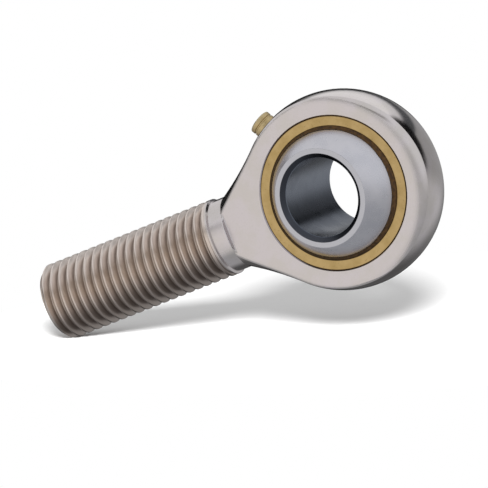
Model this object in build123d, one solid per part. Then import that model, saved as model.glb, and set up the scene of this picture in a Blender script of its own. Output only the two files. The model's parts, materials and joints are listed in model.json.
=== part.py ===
"""Male rod end bearing with grease nipple, M16 x 2 left-hand shank and 16 mm ball bore.

Millimetres.  The origin is the centre of the ball, the milled flats of the eye are
square to Y, the threaded shank points along -X and +Z is up.  The ball hangs
loose in its race and lies swivelled a little, so its bore is not quite along Y.
"""

import os
from math import asin, atan, cos, degrees, pi, radians, sin, sqrt

from build123d import *

# ---------------------------------------------------------------- ball
BORE_D = 16.0  # pin hole through the ball
BALL_D = 29.0  # spherical diameter
BALL_W = 21.0  # width over the two flat ends
BORE_CHAMFER = 0.95  # lead-in at both ends of the bore
BALL_EDGE = 0.18  # small round where the sphere meets a flat end
BALL_SWIVEL = -7.0  # degrees about Z, which takes the bore's front end towards the shank

# ---------------------------------------------------------------- grease film between ball and race
FILM_GAP = 0.01  # clearance left on each side of a film band
FILM_T = 0.03  # thickness of one film band
INNER_FILM_HALF_W = 0.85  # half width of the band that clings to the ball
OUTER_FILM_HALF_W = 2.1  # half width of the band under the race

# ---------------------------------------------------------------- race
RACE_SPHERE_R = BALL_D / 2 + 3 * FILM_GAP + 2 * FILM_T + 0.01
RACE_OD = 30.8  # visible ring, where it meets the flats of the eye
RACE_FACE_Y = 6.02  # half width of the race
RACE_LIP_R = 13.52  # inner edge of the visible ring
RACE_LIP_CHAMFER = 0.22
LOCK_GROOVE_D = 32.4  # belly that locks the race in the eye
LOCK_GROOVE_HALF_W = 3.2
GREASE_GROOVE_D = 30.2  # ring groove on the inside of the race
GREASE_GROOVE_HALF_W = 0.7
FEED_HOLE_D = 1.6  # drilled from the nipple to the grease groove

# ---------------------------------------------------------------- eye and neck
HEAD_R = 20.15  # ball-shaped rim of the eye
HEAD_FLAT_R = 0.7  # tiny flat at the far end of the rim, left by the lathe centre
EYE_FLAT_Y = 6.2  # half width over the milled flats
EYE_CHAMFER = 0.3  # edge break round the race
RIM_EDGE = 0.8  # tumbled round between rim and flat
CROWN_R = 18.4  # inner edge of the wide polished round at the far end of the eye
CROWN_ROUND = 3.0
CROWN_SHIFT = -1.5  # its centre along X, so that the round fades out towards the neck
CROWN_FROM_X = -8.0
NECK_FLARE = 30.0  # degrees from the shank axis, where the hollow neck leaves the collar
EYE_SEAM = 90.0  # degrees, puts the eye's seam on the mid-plane of the flats

# ---------------------------------------------------------------- shank
COLLAR_D = 15.0  # unrolled blank, a little under the rolled crests
COLLAR_TO = -24.3  # eye side of the plain collar
FLAT_TO = -24.0  # where the milled flats stop, close to the collar
SHOULDER_R = 0.35  # round of the milling cutter at the end of the flats
COLLAR_FROM = -27.2  # thread side of the plain collar
SHANK_JOIN = -25.2  # plane inside the collar where shank and eye are drawn together
SHANK_END = -67.4  # tip of the thread
THREAD_MAJOR_D = 15.96
THREAD_PITCH = 2.0
THREAD_DEPTH = 1.2  # crest to root
THREAD_CREST = 0.30  # flat left on each crest
THREAD_ROOT = 0.30  # flat at the bottom of the groove
THREAD_TURNS = 19  # full-depth turns, the first one off the tip
THREAD_STOP = -29.4  # where the groove starts to climb out, on the -Y side
SHANK_SEAM = 33.0  # degrees, keeps the shank's seam off the start of the groove
TIP_CHAMFER = 1.1

# ---------------------------------------------------------------- grease nipple
NIPPLE_LEAN = 31.5  # degrees from straight up towards the shank
NIPPLE_SEAT = 19.9  # spot face, measured from the ball centre
NIPPLE_TOP = 22.3
NIPPLE_HEAD_D = 5.0
NIPPLE_SHANK_D = 4.0
NIPPLE_BASE = 16.95
NIPPLE_INLET_D = 1.3
NIPPLE_CHAMBER_D = 2.5
NIPPLE_LIP_D = 1.7  # crimped lip that holds the spring in
NIPPLE_LIP_T = 0.3
CHECK_BALL_D = 2.0
CHECK_LIFT_CLEAR = 0.01
SPRING_WIRE_D = 0.28
SPRING_MEAN_D = 1.7
SPRING_TURNS = 4


def nipple_frame(distance):
    """Plane square to the nipple's axis, this far out from the ball centre."""
    lean = radians(NIPPLE_LEAN)
    out = Vector(-sin(lean), 0, cos(lean))
    return Plane(origin=out * distance, x_dir=(cos(lean), 0, sin(lean)), z_dir=out)


def about_bore(outline):
    """Turn an outline drawn as (radius, y) about Y."""
    face = make_face(outline)
    return revolve(Plane.XY * face, axis=Axis.Y)


def about_nipple(points):
    """Turn an outline drawn as (radius, distance from ball centre) about the nipple's axis."""
    face = make_face(Polyline(*[(r, 0, z) for r, z in points], close=True))
    solid = revolve(face, axis=Axis.Z)
    return nipple_frame(0).location * solid


def polar(radius, y):
    """Radius from the bore axis of a sphere's surface at height y."""
    return sqrt(radius**2 - y**2)


def sphere_band(inner_r, outer_r, half_w):
    """Closed band between two concentric spheres, |y| no more than half_w."""
    a = (polar(inner_r, half_w), -half_w)
    b = (polar(outer_r, half_w), -half_w)
    c = (polar(outer_r, half_w), half_w)
    d = (polar(inner_r, half_w), half_w)
    outline = [
        Line(a, b),
        ThreePointArc(b, (outer_r, 0), c),
        Line(c, d),
        ThreePointArc(d, (inner_r, 0), a),
    ]
    return about_bore(outline)


def swivelled(solid):
    """Solid turned about Z as the loose ball lies in its race."""
    return Rot(0, 0, BALL_SWIVEL) * solid


def make_ball():
    r = BALL_D / 2
    w = BALL_W / 2
    bore = BORE_D / 2
    low = (polar(r, w), -w)
    high = (polar(r, w), w)
    outline = [
        Line((bore, -w + BORE_CHAMFER), (bore + BORE_CHAMFER, -w)),
        Line((bore + BORE_CHAMFER, -w), low),
        ThreePointArc(low, (r, 0), high),
        Line(high, (bore + BORE_CHAMFER, w)),
        Line((bore + BORE_CHAMFER, w), (bore, w - BORE_CHAMFER)),
        Line((bore, w - BORE_CHAMFER), (bore, -w + BORE_CHAMFER)),
    ]
    ball = about_bore(outline)
    rims = ball.edges().filter_by(GeomType.CIRCLE)
    rims = [e for e in rims if abs(e.radius - polar(r, w)) < 0.01 and e.is_closed]
    return swivelled(fillet(rims, BALL_EDGE))


def make_race():
    y = RACE_FACE_Y
    groove = GREASE_GROOVE_HALF_W
    groove_r = GREASE_GROOVE_D / 2
    od = RACE_OD / 2
    lock_r = LOCK_GROOVE_D / 2
    lock_w = LOCK_GROOVE_HALF_W
    step = lock_r - od
    lip_y = y - RACE_LIP_CHAMFER
    lip_in = (polar(RACE_SPHERE_R, lip_y), lip_y)
    lip_in_low = (lip_in[0], -lip_y)
    mid_y = (lip_y + groove) / 2
    groove_in = polar(RACE_SPHERE_R, groove)
    outline = [
        Line((RACE_LIP_R, y), (od, y)),
        Line((od, y), (od, lock_w + step)),
        Line((od, lock_w + step), (lock_r, lock_w)),
        Line((lock_r, lock_w), (lock_r, -lock_w)),
        Line((lock_r, -lock_w), (od, -lock_w - step)),
        Line((od, -lock_w - step), (od, -y)),
        Line((od, -y), (RACE_LIP_R, -y)),
        Line((RACE_LIP_R, -y), lip_in_low),
        ThreePointArc(lip_in_low, (polar(RACE_SPHERE_R, mid_y), -mid_y), (groove_in, -groove)),
        Line((groove_in, -groove), (groove_r, -groove)),
        Line((groove_r, -groove), (groove_r, groove)),
        Line((groove_r, groove), (groove_in, groove)),
        ThreePointArc((groove_in, groove), (polar(RACE_SPHERE_R, mid_y), mid_y), lip_in),
        Line(lip_in, (RACE_LIP_R, y)),
    ]
    race = about_bore(outline)
    feed = nipple_frame(RACE_SPHERE_R - 0.5) * Cylinder(
        FEED_HOLE_D / 2, 3.0, align=(Align.CENTER, Align.CENTER, Align.MIN)
    )
    return race - feed


def eye_opening():
    """Space the race fills, with the edge break at both flats."""
    y = EYE_FLAT_Y
    od = RACE_OD / 2
    lock_r = LOCK_GROOVE_D / 2
    lock_w = LOCK_GROOVE_HALF_W
    step = lock_r - od
    over = 1.0
    points = [
        (0, -y - over),
        (od + EYE_CHAMFER + over, -y - over),
        (od, -y + EYE_CHAMFER),
        (od, -lock_w - step),
        (lock_r, -lock_w),
        (lock_r, lock_w),
        (od, lock_w + step),
        (od, y - EYE_CHAMFER),
        (od + EYE_CHAMFER + over, y + over),
        (0, y + over),
    ]
    return about_bore(Polyline(*points, close=True))


def shank_blank():
    """Unthreaded shank with its tip chamfer and most of the collar, turned about X."""
    collar_r = COLLAR_D / 2
    thread_r = THREAD_MAJOR_D / 2
    drop = thread_r - collar_r
    points = [
        (SHANK_END, 0),
        (SHANK_END, thread_r - TIP_CHAMFER),
        (SHANK_END + TIP_CHAMFER, thread_r),
        (COLLAR_FROM - drop / 2, thread_r),
        (COLLAR_FROM, collar_r),
        (SHANK_JOIN, collar_r),
        (SHANK_JOIN, 0),
    ]
    shank = revolve(Plane.XY * make_face(Polyline(*points, close=True)), axis=Axis.X)
    return Rot(SHANK_SEAM, 0, 0) * shank


def eye_blank():
    """Ball-shaped rim, hollow neck that runs into it and the last of the collar, turned about X."""
    flare = radians(NECK_FLARE)
    collar_r = COLLAR_D / 2
    inward = COLLAR_TO * -sin(flare) + collar_r * cos(flare)
    hollow_r = (COLLAR_TO**2 + collar_r**2 - HEAD_R**2) / 2 / (HEAD_R - inward)
    centre_x = COLLAR_TO - hollow_r * sin(flare)
    centre_r = collar_r + hollow_r * cos(flare)
    join_x = HEAD_R * centre_x / (HEAD_R + hollow_r)
    join_r = HEAD_R * centre_r / (HEAD_R + hollow_r)
    end_x = sqrt(HEAD_R**2 - HEAD_FLAT_R**2)
    mid_turn = (flare + asin(-join_x / HEAD_R)) / 2
    mid = (centre_x + hollow_r * sin(mid_turn), centre_r - hollow_r * cos(mid_turn))
    outline = [
        Line((SHANK_JOIN, 0), (SHANK_JOIN, collar_r)),
        Line((SHANK_JOIN, collar_r), (COLLAR_TO, collar_r)),
        ThreePointArc((COLLAR_TO, collar_r), mid, (join_x, join_r)),
        ThreePointArc((join_x, join_r), (0, HEAD_R), (end_x, HEAD_FLAT_R)),
        Line((end_x, HEAD_FLAT_R), (end_x, 0)),
        Line((end_x, 0), (SHANK_JOIN, 0)),
    ]
    return Rot(EYE_SEAM, 0, 0) * revolve(Plane.XY * make_face(outline), axis=Axis.X)


def flat_cutter(side):
    """Material milled off one side of the eye, with the cutter's round against the collar."""
    y = EYE_FLAT_Y
    far = HEAD_R + 5
    r = SHOULDER_R
    outline = [
        Line((far, y), (FLAT_TO + r, y)),
        ThreePointArc(
            (FLAT_TO + r, y),
            (FLAT_TO + r * (1 - sin(pi / 4)), y + r * (1 - cos(pi / 4))),
            (FLAT_TO, y + r),
        ),
        Line((FLAT_TO, y + r), (FLAT_TO, far)),
        Line((FLAT_TO, far), (far, far)),
        Line((far, far), (far, y)),
    ]
    slab = extrude(Plane.XY * make_face(outline), amount=far, both=True)
    return slab if side > 0 else mirror(slab, about=Plane.XZ)


def crown_cutter(side):
    """Material polished off the far edge of one flat: a wide round that fades out sideways."""
    far = HEAD_R + 3
    y = EYE_FLAT_Y
    r = CROWN_ROUND
    outline = [
        Line((CROWN_R, y + 1), (CROWN_R, y)),
        ThreePointArc(
            (CROWN_R, y),
            (CROWN_R + r * sin(pi / 4), y - r * (1 - cos(pi / 4))),
            (CROWN_R + r, y - r),
        ),
        Line((CROWN_R + r, y - r), (far, y - r)),
        Line((far, y - r), (far, y + 1)),
        Line((far, y + 1), (CROWN_R, y + 1)),
    ]
    ring = revolve(Plane.XY * make_face(outline), axis=Axis.Y)
    ring = Pos(CROWN_SHIFT, 0, 0) * ring
    ring &= Pos(CROWN_FROM_X, 0, 0) * Box(
        4 * far, 4 * far, 4 * far, align=(Align.MIN, Align.CENTER, Align.CENTER)
    )
    return ring if side > 0 else mirror(ring, about=Plane.XZ)


def thread_profile(path):
    """V of the groove, square to the start of the path, its floor on the path."""
    over = 0.5
    slope = (THREAD_PITCH - THREAD_CREST - THREAD_ROOT) / 2 / THREAD_DEPTH
    floor = THREAD_ROOT / 2
    reach = THREAD_DEPTH + over
    mouth = floor + reach * slope
    start = path @ 0
    square = Plane(origin=start, x_dir=(start.X, start.Y, 0), z_dir=path % 0)
    outline = Polyline((0, -floor), (reach, -mouth), (reach, mouth), (0, floor), close=True)
    return square * make_face(outline)


def thread_groove():
    """Left-hand groove, one turn at a time from past the tip, then a last turn that climbs out."""
    root = THREAD_MAJOR_D / 2 - THREAD_DEPTH
    full = (THREAD_TURNS + 1) * THREAD_PITCH
    climb = degrees(atan((THREAD_DEPTH + 0.15) / THREAD_PITCH))
    level = Helix(THREAD_PITCH, THREAD_PITCH, root, lefthand=True)
    rising = Helix(THREAD_PITCH, THREAD_PITCH, root, cone_angle=climb, lefthand=True)
    one_turn = sweep(thread_profile(level), path=level, is_frenet=True)
    run_out = sweep(thread_profile(rising), path=rising, is_frenet=True)
    past_tip = Plane(origin=(THREAD_STOP - full, 0, 0), x_dir=(0, -1, 0), z_dir=(1, 0, 0)).location
    turns = [one_turn.moved(Location((0, 0, n * THREAD_PITCH))) for n in range(THREAD_TURNS + 1)]
    turns.append(run_out.moved(Location((0, 0, full))))
    return [past_tip * turn for turn in turns]


def nipple_hole():
    """Spot face, press hole and grease feed, drilled in from the rim."""
    spot = nipple_frame(NIPPLE_SEAT) * Cylinder(
        NIPPLE_HEAD_D / 2 + 0.06, 3.0, align=(Align.CENTER, Align.CENTER, Align.MIN)
    )
    press = nipple_frame(NIPPLE_BASE - 0.15) * Cylinder(
        NIPPLE_SHANK_D / 2, 5.0, align=(Align.CENTER, Align.CENTER, Align.MIN)
    )
    feed = nipple_frame(LOCK_GROOVE_D / 2 - 0.5) * Cylinder(
        FEED_HOLE_D / 2, 3.0, align=(Align.CENTER, Align.CENTER, Align.MIN)
    )
    return [spot, press, feed]


def make_shank():
    shank = shank_blank()
    for cut in thread_groove():
        shank -= cut
    return shank


def make_eye():
    eye = eye_blank()
    for side in (1, -1):
        eye -= flat_cutter(side)
    outline = [
        e
        for e in eye.edges()
        if e.bounding_box().size.Y < 0.01
        and e.bounding_box().size.X > 0.1
        and abs(abs(e.center().Y) - EYE_FLAT_Y) < 0.01
    ]
    eye = fillet(outline, RIM_EDGE)
    for side in (1, -1):
        eye -= crown_cutter(side)
    eye -= eye_opening()
    for cut in nipple_hole():
        eye -= cut
    return eye


def make_nipple_body():
    head = NIPPLE_HEAD_D / 2
    shank = NIPPLE_SHANK_D / 2
    chamber = NIPPLE_CHAMBER_D / 2
    inlet = NIPPLE_INLET_D / 2
    lip = NIPPLE_LIP_D / 2
    seat_top = NIPPLE_TOP - 0.55
    band = (NIPPLE_SEAT + NIPPLE_TOP) / 2
    points = [
        (lip, NIPPLE_BASE),
        (shank - 0.25, NIPPLE_BASE),
        (shank, NIPPLE_BASE + 0.25),
        (shank, NIPPLE_SEAT),
        (head - 0.1, NIPPLE_SEAT),
        (head, NIPPLE_SEAT + 0.1),
        (head, band - 0.2),
        (head - 0.18, band - 0.08),
        (head - 0.18, band + 0.12),
        (head, band + 0.24),
        (head, NIPPLE_TOP - 0.32),
        (head - 0.1, NIPPLE_TOP - 0.12),
        (head - 0.35, NIPPLE_TOP),
        (inlet + 0.18, NIPPLE_TOP),
        (inlet, NIPPLE_TOP - 0.18),
        (inlet, seat_top),
        (chamber, seat_top - (chamber - inlet)),
        (chamber, NIPPLE_BASE + NIPPLE_LIP_T),
        (lip, NIPPLE_BASE + NIPPLE_LIP_T),
    ]
    return about_nipple(points)


def check_ball_height():
    """Centre of the check ball when it rests on the 45 degree seat."""
    seat_sum = NIPPLE_INLET_D / 2 + NIPPLE_TOP - 0.55
    return seat_sum - (CHECK_BALL_D / 2 + CHECK_LIFT_CLEAR) * sqrt(2)


def make_check_ball():
    return nipple_frame(check_ball_height()) * Sphere(CHECK_BALL_D / 2)


def make_nipple_spring():
    wire = SPRING_WIRE_D / 2
    mean = SPRING_MEAN_D / 2
    low = NIPPLE_BASE + NIPPLE_LIP_T + wire + 0.01
    reach = CHECK_BALL_D / 2 + wire + 0.01
    high = check_ball_height() - sqrt(reach**2 - mean**2)
    path = Helix((high - low) / SPRING_TURNS, high - low, mean)
    start = path @ 0
    square = Plane(origin=start, x_dir=(start.X, start.Y, 0), z_dir=path % 0)
    coil = sweep(square * Circle(wire), path=path, is_frenet=True)
    return nipple_frame(low) * coil


def main():
    os.makedirs("parts", exist_ok=True)
    film = BALL_D / 2 + FILM_GAP
    outer_film = film + FILM_T + FILM_GAP
    nodes = {
        "rod_body": make_eye() + make_shank(),
        "brass_race": make_race(),
        "ball": make_ball(),
        "grease_film_inner": swivelled(sphere_band(film, film + FILM_T, INNER_FILM_HALF_W)),
        "grease_film_outer": sphere_band(outer_film, outer_film + FILM_T, OUTER_FILM_HALF_W),
        "nipple_body": make_nipple_body(),
        "nipple_check_ball": make_check_ball(),
        "nipple_spring": make_nipple_spring(),
    }
    for name, shape in nodes.items():
        print(name, type(shape).__name__, round(shape.volume, 3), shape.is_valid, len(shape.solids()))
        export_step(shape, f"parts/{name}.step")


main()
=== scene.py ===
"""Male rod end bearing: finishes of every piece, a dark ring of painted shade where the race meets
the ball, the nipple's spring, a pale floor and soft studio light.

Lengths in the materials are millimetres from the ball's centre, which is the part's origin:
the bore runs along Y, the threaded shank points along -X and +Z is up.
"""

import json
import random
from math import atan2, cos, pi, radians, sin

import bmesh
import bpy
from mathutils import Matrix, Vector


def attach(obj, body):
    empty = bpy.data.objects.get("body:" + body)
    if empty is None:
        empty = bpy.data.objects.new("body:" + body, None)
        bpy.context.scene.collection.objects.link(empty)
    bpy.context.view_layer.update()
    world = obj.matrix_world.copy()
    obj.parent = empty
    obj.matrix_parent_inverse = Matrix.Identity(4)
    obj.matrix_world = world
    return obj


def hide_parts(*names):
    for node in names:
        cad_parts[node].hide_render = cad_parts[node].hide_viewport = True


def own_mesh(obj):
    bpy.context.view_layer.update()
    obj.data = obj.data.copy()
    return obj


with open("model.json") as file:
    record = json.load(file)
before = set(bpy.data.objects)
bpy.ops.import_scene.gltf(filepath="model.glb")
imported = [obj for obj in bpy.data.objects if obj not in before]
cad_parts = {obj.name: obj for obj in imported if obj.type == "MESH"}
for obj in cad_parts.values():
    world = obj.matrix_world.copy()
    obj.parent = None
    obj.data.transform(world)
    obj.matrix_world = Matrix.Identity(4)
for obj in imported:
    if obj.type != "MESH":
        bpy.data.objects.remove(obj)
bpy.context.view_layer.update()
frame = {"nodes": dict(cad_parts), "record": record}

MM = 0.001

# ---------------------------------------------------------------- shapes the finishes follow, mm
FLAT_Y = 6.2  # half width over the milled flats of the eye
COLLAR_X = -27.2  # where the plain collar ends and the thread begins
ROOT_R = 6.78  # thread root
RING_IN_R = 13.52  # inner edge of the brass ring
RING_OUT_R = 15.4  # outer edge of the brass ring
BALL_R = 14.5
BORE_R = 8.0
BORE_MOUTH_R = 8.95  # outer edge of the chamfer at the bore's ends
NIPPLE_LEAN = radians(31.5)  # from straight up towards the shank
NIPPLE_OUT = Vector((-sin(NIPPLE_LEAN), 0.0, cos(NIPPLE_LEAN)))
NIPPLE_TOP = 22.3

# ---------------------------------------------------------------- dark ring of painted shade between race and ball, mm
BEAD_ABOVE_BALL = 0.06  # clears the grease films
BEAD_LIP = radians(66.0)  # polar angle from the bore, where the race's lip stands
BEAD_TOE = radians(61.6)  # polar angle of the thin edge on the ball
BEAD_WAVE = radians(0.25)  # how far the slowest waves move the thin edge
BEAD_WAVE_COUNTS = (2, 3, 5, 9, 14, 23)  # waves in one turn
BEAD_THIN = 0.015
BEAD_SWELL = 0.2  # growth from the thin edge to the lip
BEAD_STEPS_ACROSS = 6
BEAD_STEPS_AROUND = 220
BEAD_SEED = 7

# ---------------------------------------------------------------- view
VIEW_AZIMUTH = radians(22.79)
VIEW_ELEVATION = radians(-0.57)
VIEW_ROLL = radians(21.4)
VIEW_DISTANCE = 1.2
VIEW_AIM = Vector((-20.8, -8.6, -2.9)) * MM
VIEW_LENS = 443.8
SENSOR_WIDTH = 36.0

# ---------------------------------------------------------------- floor and key light, metres
FLOOR_TILT = radians(6.5)  # how far above the floor the view looks from
FLOOR_ROLL = radians(3.5)  # how much the floor rises to the right
FLOOR_SHIFT = 0.02  # centre of the floor, to the right of the part and behind it
FLOOR_R = 0.105
FLOOR_CORNERS = 96
KEY_HEIGHT = radians(23.0)  # angle of the key light above the floor
KEY_LEFT = radians(0.5)  # angle of the key light to the left of the view
KEY_DISTANCE = 1.5
KEY_WIDTH = 0.36
KEY_POWER = 62.0

# ---------------------------------------------------------------- studio seen in the metal
# Headings are azimuth and elevation in degrees, azimuth 0 towards -Y and 90 towards +X.
# Round patches: azimuth, elevation, radius of the full patch, radius where it ends, grey, warmth.
PANELS = (
    (85, 25, 20, 55, 0.84, -0.01),
    (-24, -10, 10, 50, 0.86, 0.02),
    (-23, 0, 8, 26, 0.93, 0.03),
)
GAPS = (
    (130, 3, 8, 14, 0.01, 0.0),
    (132, 9, 8, 14, 0.01, 0.0),
    (135, 15, 8, 14, 0.01, 0.0),
    (138, 21, 8, 14, 0.01, 0.0),
    (-150, -30, 12, 42, 0.10, 0.0),
    (-150, 8, 14, 27, 0.01, 0.0),
    (-120, 24, 12, 23, 0.01, 0.0),
)
# Belts within a round patch: the four elevations where each rises and falls, grey, warmth.
BEHIND = (165, 0, 35, 62)
BELTS_BEHIND = (
    (-20, -5, 12, 16, 0.38, 0.0),
    (12, 15, 21, 25, 0.09, -0.05),
    (28, 34, 60, 70, 1.0, 0.0),
)
AHEAD = (-28, 30, 45, 75)
BELTS_AHEAD = ((28, 31, 35, 38, 0.25, 0.02),)
FLOOR_GLOW = 0.61  # grey that lights matt surfaces


# ---------------------------------------------------------------- node helpers
def node(tree, kind, inputs=(), **settings):
    made = tree.nodes.new(kind)
    for name, value in settings.items():
        setattr(made, name, value)
    for key, value in dict(inputs).items():
        if isinstance(value, bpy.types.NodeSocket):
            tree.links.new(value, made.inputs[key])
        else:
            made.inputs[key].default_value = value
    return made


def calc(tree, operation, a, b=0.0):
    return node(tree, "ShaderNodeMath", {0: a, 1: b}, operation=operation).outputs[0]


def fade(tree, value, start, end, low=0.0, high=1.0):
    """Smooth step from low at start to high at end."""
    inputs = {"Value": value, "From Min": start, "From Max": end, "To Min": low, "To Max": high}
    made = node(tree, "ShaderNodeMapRange", inputs, interpolation_type="SMOOTHSTEP")
    return made.outputs["Result"]


def mix(tree, factor, a, b):
    made = node(tree, "ShaderNodeMix", {0: factor, 6: a, 7: b}, data_type="RGBA")
    return made.outputs[2]


def between(tree, factor, a, b):
    """The number a where factor is 0, b where it is 1."""
    return node(tree, "ShaderNodeMix", {0: factor, 2: a, 3: b}, data_type="FLOAT").outputs[0]


def rgb(r, g, b):
    return (r, g, b, 1.0)


def noise(tree, place, scale, detail=4.0, rough=0.55):
    inputs = {"Vector": place, "Scale": scale, "Detail": detail, "Roughness": rough}
    return node(tree, "ShaderNodeTexNoise", inputs).outputs["Fac"]


def stretched(tree, place, scale):
    return node(tree, "ShaderNodeVectorMath", {0: place, 1: scale}, operation="MULTIPLY").outputs[0]


def distance(tree, a, b):
    squares = [calc(tree, "MULTIPLY", side, side) for side in (a, b)]
    return calc(tree, "SQRT", calc(tree, "ADD", *squares))


def combine(tree, x, y, z):
    return node(tree, "ShaderNodeCombineXYZ", {0: x, 1: y, 2: z}).outputs[0]


def split(tree, vector):
    return node(tree, "ShaderNodeSeparateXYZ", {0: vector}).outputs


def turned_about_z(tree, vector, angle):
    inputs = {"Vector": vector, "Angle": angle}
    return node(tree, "ShaderNodeVectorRotate", inputs, rotation_type="Z_AXIS").outputs[0]


class Finish:
    """A finish under way: its node tree, the place on the piece in mm, and the surface's facing.

    It starts as a metal. swivel is the angle about Z by which the piece lies turned in the
    part's frame.
    """

    def __init__(self, name, swivel=0.0):
        self.material = bpy.data.materials.new(name)
        self.material.use_nodes = True
        self.tree = self.material.node_tree
        self.shader = self.tree.nodes["Principled BSDF"]
        self.shader.inputs["Metallic"].default_value = 1.0
        coords = node(self.tree, "ShaderNodeTexCoord")
        place = stretched(self.tree, coords.outputs["Object"], (1 / MM, 1 / MM, 1 / MM))
        self.place = turned_about_z(self.tree, place, -swivel)
        self.x, self.y, self.z = split(self.tree, self.place)
        self.facing = split(self.tree, turned_about_z(self.tree, coords.outputs["Normal"], -swivel))

    def radius_about_bore(self):
        return distance(self.tree, self.x, self.z)

    def radius_about_shank(self):
        return distance(self.tree, self.y, self.z)

    def done(self, colour, roughness, height, bump=0.02):
        """Connects colour, roughness and a height in mm."""
        bump_inputs = {"Height": height, "Strength": 1.0, "Distance": bump * MM}
        normal = node(self.tree, "ShaderNodeBump", bump_inputs).outputs["Normal"]
        for name, value in (("Base Color", colour), ("Roughness", roughness), ("Normal", normal)):
            self.tree.links.new(value, self.shader.inputs[name])
        return self.material


# ---------------------------------------------------------------- finishes
def make_steel():
    """Plated forging: satin flats, smoother rim, turned collar, rolled thread darker towards its
    roots, with a painted sheen band across its middle height and painted shade towards its
    underside.
    """
    f = Finish("satin_plated_steel")
    t = f.tree
    off_shank = f.radius_about_shank()
    thread = fade(t, f.x, COLLAR_X - 1.0, COLLAR_X - 0.2, 1.0, 0.0)
    depth = calc(t, "MULTIPLY", thread, fade(t, off_shank, ROOT_R + 0.7, ROOT_R + 0.1))
    facing_out = calc(t, "ABSOLUTE", f.facing[1])
    side = calc(t, "ABSOLUTE", f.y)
    near_flat = fade(t, side, FLAT_Y - 0.6, FLAT_Y - 0.1)
    flat = calc(t, "MULTIPLY", near_flat, fade(t, facing_out, 0.85, 0.99))

    cloud = noise(t, f.place, 0.2, 5.0, 0.6)
    speck = noise(t, f.place, 2.6, 3.0)
    brushed = noise(t, stretched(t, f.place, (0.35, 1.0, 5.0)), 1.0, 3.0)
    turned = noise(t, stretched(t, f.place, (7.0, 0.25, 0.25)), 1.0, 3.0)

    plate = mix(t, fade(t, cloud, 0.35, 0.65), rgb(0.605, 0.57, 0.555), rgb(0.655, 0.612, 0.625))
    plate = mix(t, fade(t, speck, 0.5, 0.8, 0.0, 0.3), plate, rgb(0.53, 0.50, 0.495))
    # darker towards the thread roots
    root_tone = mix(t, fade(t, cloud, 0.3, 0.7), rgb(0.38, 0.32, 0.285), rgb(0.50, 0.44, 0.40))
    crest = mix(t, fade(t, turned, 0.35, 0.7), rgb(0.66, 0.585, 0.54), rgb(0.79, 0.71, 0.665))
    worked = mix(t, depth, crest, root_tone)
    # painted sheen with streaky wear: a lighter tan band across the middle height of the thread,
    # broken into streaks
    rub_and_sheen = calc(t, "MULTIPLY", fade(t, f.z, 4.5, 2.0), fade(t, f.z, -3.5, 0.5))
    streaks = noise(t, stretched(t, f.place, (4.0, 0.6, 0.6)), 1.0, 4.0, 0.7)
    rub_and_sheen = calc(t, "MULTIPLY", rub_and_sheen, fade(t, streaks, 0.3, 0.7, 0.25, 0.85))
    worked = mix(t, rub_and_sheen, worked, rgb(0.56, 0.475, 0.405))
    # painted shade: the thread turns dark brown towards its underside
    painted_underside_shade = fade(t, f.z, 0.5, -6.5, 0.0, 0.78)
    worked = mix(t, painted_underside_shade, worked, rgb(0.235, 0.195, 0.175))
    colour = mix(t, thread, plate, worked)

    satin = fade(t, cloud, 0.3, 0.7, 0.30, 0.38)
    smooth = fade(t, cloud, 0.3, 0.7, 0.11, 0.17)
    rolled = fade(t, depth, 0.0, 1.0, 0.30, 0.45)
    base_rough = between(t, flat, smooth, satin)
    roughness = between(t, thread, base_rough, rolled)

    flat_height = calc(t, "MULTIPLY", flat, brushed)
    height = calc(t, "ADD", flat_height, calc(t, "MULTIPLY", speck, 0.4))
    height = calc(t, "ADD", height, calc(t, "MULTIPLY", thread, turned))
    return f.done(colour, roughness, height, 0.006)


def make_race_brass():
    """Turned brass ring, dulled, with painted shade at its inner lip towards the ball and along its
    outer seam.
    """
    f = Finish("turned_brass")
    t = f.tree
    radius = f.radius_about_bore()
    rings = noise(t, combine(t, calc(t, "MULTIPLY", radius, 9.0), f.y, 0.0), 1.0, 3.0)
    cloud = noise(t, f.place, 0.45, 5.0, 0.6)
    brass = mix(t, fade(t, cloud, 0.35, 0.68), rgb(0.52, 0.375, 0.17), rgb(0.475, 0.335, 0.14))
    brass = mix(t, fade(t, rings, 0.45, 0.75, 0.0, 0.4), brass, rgb(0.58, 0.44, 0.22))
    fleck = noise(t, f.place, 2.2, 4.0, 0.7)
    brass = mix(t, fade(t, fleck, 0.58, 0.7, 0.0, 0.55), brass, rgb(0.27, 0.18, 0.07))
    # painted shade: near-black at the inner lip where the ring meets the ball and along the outer
    # seam against the eye
    lip = fade(t, radius, RING_IN_R + 0.12, RING_IN_R - 0.02)
    seam = fade(t, radius, RING_OUT_R - 0.14, RING_OUT_R)
    painted_edge_shade = calc(t, "MAXIMUM", lip, seam)
    colour = mix(t, painted_edge_shade, brass, rgb(0.06, 0.035, 0.015))
    roughness = fade(t, cloud, 0.3, 0.7, 0.32, 0.42)
    return f.done(colour, roughness, rings, 0.01)


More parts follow.
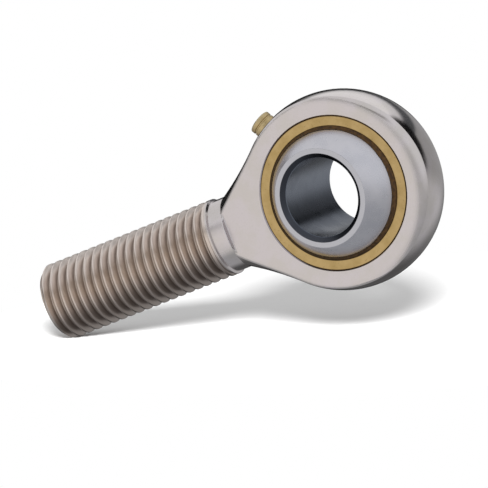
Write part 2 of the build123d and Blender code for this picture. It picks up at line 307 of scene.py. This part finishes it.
def make_ball_steel():
    """Ground bearing steel: satin bluish sphere, lighter turned ends, painted shade inside the
    bore, lighter towards its top as painted light and darkest at its chamfered mouth.
    """
    bore_axis = next(m["axis"] for m in frame["record"]["mounts"] if m["name"] == "ball_bore")
    f = Finish("ground_bearing_steel", swivel=atan2(-bore_axis[0], bore_axis[1]))
    t = f.tree
    radius = f.radius_about_bore()
    end = fade(t, calc(t, "ABSOLUTE", f.facing[1]), 0.9, 0.99)
    bore = fade(t, radius, BORE_MOUTH_R + 0.06, BORE_MOUTH_R - 0.02)
    mouth = fade(t, radius, BORE_R + 0.06, BORE_R + 0.12)
    rings = noise(t, combine(t, calc(t, "MULTIPLY", radius, 8.0), 0.0, 0.0), 1.0, 3.0)
    bands = noise(t, combine(t, calc(t, "MULTIPLY", f.y, 6.0), 0.0, 0.0), 1.0, 4.0)
    cloud = noise(t, f.place, 0.3, 4.0)
    sphere = mix(t, fade(t, cloud, 0.3, 0.7), rgb(0.56, 0.56, 0.61), rgb(0.62, 0.615, 0.66))
    sphere = mix(t, fade(t, bands, 0.5, 0.8, 0.0, 0.3), sphere, rgb(0.67, 0.665, 0.71))
    turned = mix(t, fade(t, rings, 0.35, 0.7), rgb(0.50, 0.505, 0.55), rgb(0.58, 0.585, 0.62))
    # painted shade inside the bore, lighter towards its top as painted light, darkest at the
    # chamfer of its mouth
    bore_shade = mix(t, fade(t, bands, 0.35, 0.7), rgb(0.075, 0.088, 0.115), rgb(0.12, 0.135, 0.17))
    bore_shade = mix(t, fade(t, f.z, -4.0, 7.0, 0.0, 0.7), bore_shade, rgb(0.30, 0.33, 0.39))
    bore_shade = mix(t, mouth, bore_shade, rgb(0.06, 0.065, 0.08))
    colour = mix(t, bore, mix(t, end, sphere, turned), bore_shade)
    roughness = between(t, end, fade(t, cloud, 0.3, 0.7, 0.24, 0.32), 0.38)
    height = calc(t, "ADD", calc(t, "MULTIPLY", end, rings), calc(t, "MULTIPLY", bands, 0.5))
    return f.done(colour, roughness, height, 0.006)


def make_grease_and_shade_coat(name, low, high, gloss):
    """Glossy non-metal coat with a skin that runs between the two roughness values in gloss; amber
    for the grease films, near-black for the painted shade of the gap ring.
    """
    f = Finish(name)
    t = f.tree
    f.shader.inputs["Metallic"].default_value = 0.0
    f.shader.inputs["Specular IOR Level"].default_value = 0.3
    smear = noise(t, f.place, 1.5, 4.0)
    colour = mix(t, fade(t, smear, 0.3, 0.7), low, high)
    return f.done(colour, fade(t, smear, 0.3, 0.7, *gloss), smear, 0.01)


def make_nipple_brass():
    """Turned brass, duller than the ring, lighter at its worn top, with dark turning rings."""
    f = Finish("nipple_brass")
    t = f.tree
    inputs = {0: f.place, 1: NIPPLE_OUT}
    along = node(t, "ShaderNodeVectorMath", inputs, operation="DOT_PRODUCT")
    height = along.outputs["Value"]
    rings = noise(t, combine(t, calc(t, "MULTIPLY", height, 9.0), 0.0, 0.0), 1.0, 3.0)
    cloud = noise(t, f.place, 0.9, 4.0)
    brass = mix(t, fade(t, cloud, 0.3, 0.7), rgb(0.46, 0.35, 0.175), rgb(0.60, 0.48, 0.27))
    worn = mix(t, fade(t, height, NIPPLE_TOP - 0.7, NIPPLE_TOP), brass, rgb(0.56, 0.47, 0.30))
    colour = mix(t, fade(t, rings, 0.5, 0.8, 0.0, 0.5), worn, rgb(0.3, 0.2, 0.08))
    return f.done(colour, fade(t, cloud, 0.3, 0.7, 0.3, 0.45), rings, 0.02)


def make_small_steel(name, low, high, rough):
    """Bright drawn or ground steel with a faint cloud."""
    f = Finish(name)
    t = f.tree
    cloud = noise(t, f.place, 3.0, 4.0)
    colour = mix(t, fade(t, cloud, 0.3, 0.7), low, high)
    return f.done(colour, fade(t, cloud, 0.3, 0.7, rough, rough + 0.12), cloud, 0.004)


def finish_nodes():
    grease = make_grease_and_shade_coat("amber_grease", rgb(0.20, 0.11, 0.03), rgb(0.34, 0.2, 0.06), (0.12, 0.3))
    # near-black coat for the painted-shade ring between race and ball
    make_grease_and_shade_coat("gap_shade_black", rgb(0.010, 0.005, 0.002), rgb(0.028, 0.014, 0.004), (0.4, 0.6))
    finishes = {
        "rod_body": make_steel(),
        "brass_race": make_race_brass(),
        "ball": make_ball_steel(),
        "grease_film_inner": grease,
        "grease_film_outer": grease,
        "nipple_body": make_nipple_brass(),
        "nipple_check_ball": make_small_steel(
            "check_ball_steel", rgb(0.5, 0.5, 0.52), rgb(0.62, 0.62, 0.64), 0.15
        ),
        "nipple_spring": make_small_steel(
            "spring_wire", rgb(0.36, 0.35, 0.34), rgb(0.5, 0.49, 0.48), 0.3
        ),
    }
    for name, material in finishes.items():
        for slot in frame["nodes"][name].material_slots:
            slot.material = material


# ---------------------------------------------------------------- dark ring of painted shade between race and ball
def make_gap_shade_ring(side):
    """Dark ring of painted shade laid where the race meets the ball, standing in for the shade in
    that gap, wavy at its thin edge on the ball.

    side is -1 for the front of the eye, 1 for the back.
    """
    inner = (BALL_R + BEAD_ABOVE_BALL) * MM
    rng = random.Random(BEAD_SEED + side)
    starts = [(n, rng.uniform(0.0, 2 * pi)) for n in BEAD_WAVE_COUNTS]

    def place(polar, rho, turn):
        flat = rho * sin(polar)
        return Vector((flat * cos(turn), side * rho * cos(polar), flat * sin(turn)))

    rings = []
    for i in range(BEAD_STEPS_AROUND):
        turn = 2 * pi * i / BEAD_STEPS_AROUND
        edge = BEAD_TOE + sum(BEAD_WAVE / n**0.5 * sin(n * turn + start) for n, start in starts)
        profile = []
        for k in range(BEAD_STEPS_ACROSS + 1):
            along = k / BEAD_STEPS_ACROSS
            height = (BEAD_THIN + BEAD_SWELL * along**2) * MM
            profile.append((edge + (BEAD_LIP - edge) * along, inner + height))
        profile += [(BEAD_LIP, inner), (edge, inner)]
        rings.append([place(polar, rho, turn) for polar, rho in profile])
    count = len(rings[0])
    corners = [corner for ring in rings for corner in ring]
    faces = []
    for i in range(BEAD_STEPS_AROUND):
        here = i * count
        ahead = (i + 1) % BEAD_STEPS_AROUND * count
        for k in range(count):
            after = (k + 1) % count
            faces.append((here + k, here + after, ahead + after, ahead + k))
    name = "gap_shade_ring_front" if side < 0 else "gap_shade_ring_back"
    mesh = bpy.data.meshes.new(name)
    mesh.from_pydata(corners, [], faces)
    shape = bmesh.new()
    shape.from_mesh(mesh)
    bmesh.ops.recalc_face_normals(shape, faces=shape.faces)
    for face in shape.faces:
        face.smooth = True
    shape.to_mesh(mesh)
    shape.free()
    bead = bpy.data.objects.new(name, mesh)
    bpy.context.scene.collection.objects.link(bead)
    mesh.materials.append(bpy.data.materials["gap_shade_black"])
    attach(bead, "housing")


def make_valve_spring():
    """The nipple's coil spring as a copy in spring wire with its own mesh, carried by the housing;
    the original spring is hidden.
    """
    mesh = frame["nodes"]["nipple_spring"].data.copy()
    mesh.materials.clear()
    mesh.materials.append(bpy.data.materials["spring_wire"])
    spring = bpy.data.objects.new("valve_spring", mesh)
    bpy.context.scene.collection.objects.link(spring)
    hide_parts("nipple_spring")
    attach(spring, "housing")
    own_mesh(spring)


# ---------------------------------------------------------------- view, floor and light
def make_camera():
    """Camera at the view's azimuth, elevation and roll, looking at the aim point."""
    back = Vector(
        (
            sin(VIEW_AZIMUTH) * cos(VIEW_ELEVATION),
            -cos(VIEW_AZIMUTH) * cos(VIEW_ELEVATION),
            sin(VIEW_ELEVATION),
        )
    )
    level = Vector((0, 0, 1)).cross(back).normalized()
    upright = back.cross(level)
    right = level * cos(VIEW_ROLL) - upright * sin(VIEW_ROLL)
    up = level * sin(VIEW_ROLL) + upright * cos(VIEW_ROLL)
    data = bpy.data.cameras.new("view")
    data.lens = VIEW_LENS
    data.sensor_width = SENSOR_WIDTH
    data.clip_start = 0.1
    data.clip_end = 10.0
    camera = bpy.data.objects.new("view", data)
    bpy.context.scene.collection.objects.link(camera)
    turn = Matrix((right, up, back)).transposed().to_4x4()
    camera.matrix_world = Matrix.Translation(VIEW_AIM + back * VIEW_DISTANCE) @ turn
    bpy.context.scene.camera = camera
    return right, up, back


def make_floor(across, floor_up):
    """Pale disc that the tip of the thread rests on."""
    lowest = min(v.co.dot(floor_up) for v in frame["nodes"]["rod_body"].data.vertices)
    depth = floor_up.cross(across)
    centre = floor_up * lowest + (across + depth) * FLOOR_SHIFT
    turns = [2 * pi * i / FLOOR_CORNERS for i in range(FLOOR_CORNERS)]
    rim = [centre + (across * cos(turn) + depth * sin(turn)) * FLOOR_R for turn in turns]
    mesh = bpy.data.meshes.new("floor")
    mesh.from_pydata(rim, [], [list(range(FLOOR_CORNERS))])
    floor = bpy.data.objects.new("floor", mesh)
    bpy.context.scene.collection.objects.link(floor)
    floor.visible_glossy = False
    paper = bpy.data.materials.new("pale_floor")
    paper.use_nodes = True
    tree = paper.node_tree
    shader = tree.nodes["Principled BSDF"]
    grain = noise(tree, node(tree, "ShaderNodeTexCoord").outputs["Object"], 400.0)
    colour = mix(tree, grain, rgb(0.85, 0.85, 0.85), rgb(0.88, 0.88, 0.88))
    tree.links.new(colour, shader.inputs["Base Color"])
    shader.inputs["Roughness"].default_value = 0.9
    shader.inputs["Specular IOR Level"].default_value = 0.0
    mesh.materials.append(paper)


def heading(azimuth, elevation):
    """Direction in the part's frame of a heading in degrees."""
    a = radians(azimuth)
    e = radians(elevation)
    return (sin(a) * cos(e), -cos(a) * cos(e), sin(e))


def make_studio():
    """White backdrop; in reflections, large soft panels with dark gaps between them."""
    world = bpy.data.worlds.new("studio")
    bpy.context.scene.world = world
    world.use_nodes = True
    t = world.node_tree
    look = node(t, "ShaderNodeTexCoord").outputs["Generated"]
    height = split(t, look)[2]

    def round_patch(azimuth, elevation, inner, outer):
        """1 within inner degrees of the heading, 0 beyond outer degrees."""
        inputs = {0: look, 1: heading(azimuth, elevation)}
        towards = node(t, "ShaderNodeVectorMath", inputs, operation="DOT_PRODUCT").outputs["Value"]
        return fade(t, towards, cos(radians(outer)), cos(radians(inner)))

    def belt(bottom, low, high, top):
        """1 between the elevations low and high, 0 below bottom and above top."""
        rising = fade(t, height, sin(radians(bottom)), sin(radians(low)))
        falling = fade(t, height, sin(radians(top)), sin(radians(high)))
        return calc(t, "MULTIPLY", rising, falling)

    def grey(level, warmth=0.0):
        return rgb(level * (1 + warmth), level, level * (1 - warmth))

    def with_patches(sky, patches):
        for *patch, level, warmth in patches:
            sky = mix(t, round_patch(*patch), sky, grey(level, warmth))
        return sky

    def with_belts(sky, patch, belts):
        within = round_patch(*patch)
        for *elevations, level, warmth in belts:
            share = calc(t, "MULTIPLY", within, belt(*elevations))
            sky = mix(t, share, sky, grey(level, warmth))
        return sky

    low = mix(t, fade(t, height, -1.0, -0.2), grey(0.42, -0.02), grey(0.58))
    sky = mix(t, fade(t, height, -0.1, 0.6), low, grey(0.82))
    sky = with_patches(sky, PANELS)
    sky = with_belts(sky, BEHIND, BELTS_BEHIND)
    sky = with_patches(sky, GAPS)
    sky = with_belts(sky, AHEAD, BELTS_AHEAD)

    path = node(t, "ShaderNodeLightPath").outputs
    colour = mix(t, path["Is Diffuse Ray"], sky, grey(FLOOR_GLOW))
    colour = mix(t, path["Is Camera Ray"], colour, grey(1.0))
    t.links.new(colour, t.nodes["Background"].inputs["Color"])


def make_key(towards):
    """Soft distant light high in front, which throws the shadow behind the part."""
    data = bpy.data.lights.new("key", "AREA")
    data.shape = "DISK"
    data.size = KEY_WIDTH
    data.energy = KEY_POWER
    light = bpy.data.objects.new("key", data)
    bpy.context.scene.collection.objects.link(light)
    light.location = towards * KEY_DISTANCE
    light.rotation_mode = "QUATERNION"
    light.rotation_quaternion = towards.to_track_quat("Z", "Y")
    light.visible_glossy = False


finish_nodes()
for side in (-1, 1):
    make_gap_shade_ring(side)
make_valve_spring()
right, up, back = make_camera()
across = right * cos(FLOOR_ROLL) + up * sin(FLOOR_ROLL)
upright = up * cos(FLOOR_ROLL) - right * sin(FLOOR_ROLL)
floor_up = upright * cos(FLOOR_TILT) + back * sin(FLOOR_TILT)
front = across.cross(floor_up)
make_floor(across, floor_up)
make_studio()
level = front * cos(KEY_LEFT) - across * sin(KEY_LEFT)
make_key(level * cos(KEY_HEIGHT) + floor_up * sin(KEY_HEIGHT))
bpy.context.scene.view_settings.view_transform = "Standard"
